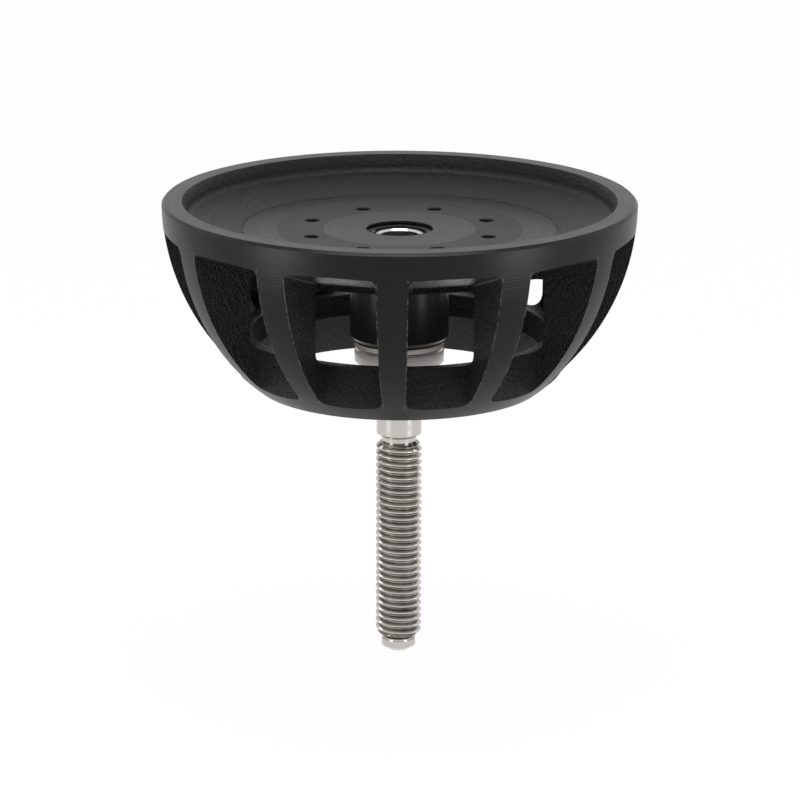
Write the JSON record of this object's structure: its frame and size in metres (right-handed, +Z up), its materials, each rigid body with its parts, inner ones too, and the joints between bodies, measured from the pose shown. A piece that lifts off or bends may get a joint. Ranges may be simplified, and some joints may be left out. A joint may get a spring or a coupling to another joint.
{
  "type": "half ball adapter",
  "caption": "Levelling half ball for a camera bowl: black cast ball with a dished floor, windows between ribs, and a threaded steel tie-down stud under its hub.",
  "frame": {"origin": "centre of the ball, which lies in the plane of the flat rim", "axes": "+Z up out of the dish, along the stud's axis; -Y towards the pictured front, +X to its right"},
  "size_m": [0.1, 0.1, 0.0993],
  "materials": {
    "black_casting": "black, turned satin outside and rough as cast inside",
    "bush_steel": "turned, bright",
    "spring_steel": "blackened spring steel",
    "washer_steel": "plain stainless",
    "stud_steel": "turned stainless, thread cut"
  },
  "bodies": {
    "ball": {"half_ball_casting": "black_casting", "threaded_bush": "bush_steel", "retaining_ring": "spring_steel"},
    "washer": {"lock_washer": "washer_steel"},
    "stud": {"tie_down_stud": "stud_steel"}
  },
  "joints": [
    {"name": "stud_travel", "type": "slide", "parent": "ball", "child": "washer", "axis": [0, 0, -1], "range_m": [0, 0.012]},
    {"name": "stud_turn", "type": "hinge", "parent": "washer", "child": "stud", "pos_m": [0, 0, -0.0302], "axis": [0, 0, 1], "range_deg": [-2880, 0]}
  ],
  "couplings": [
    {"joint": "stud_turn", "follows": "stud_travel", "rad_per_m": -4188.8}
  ]
}
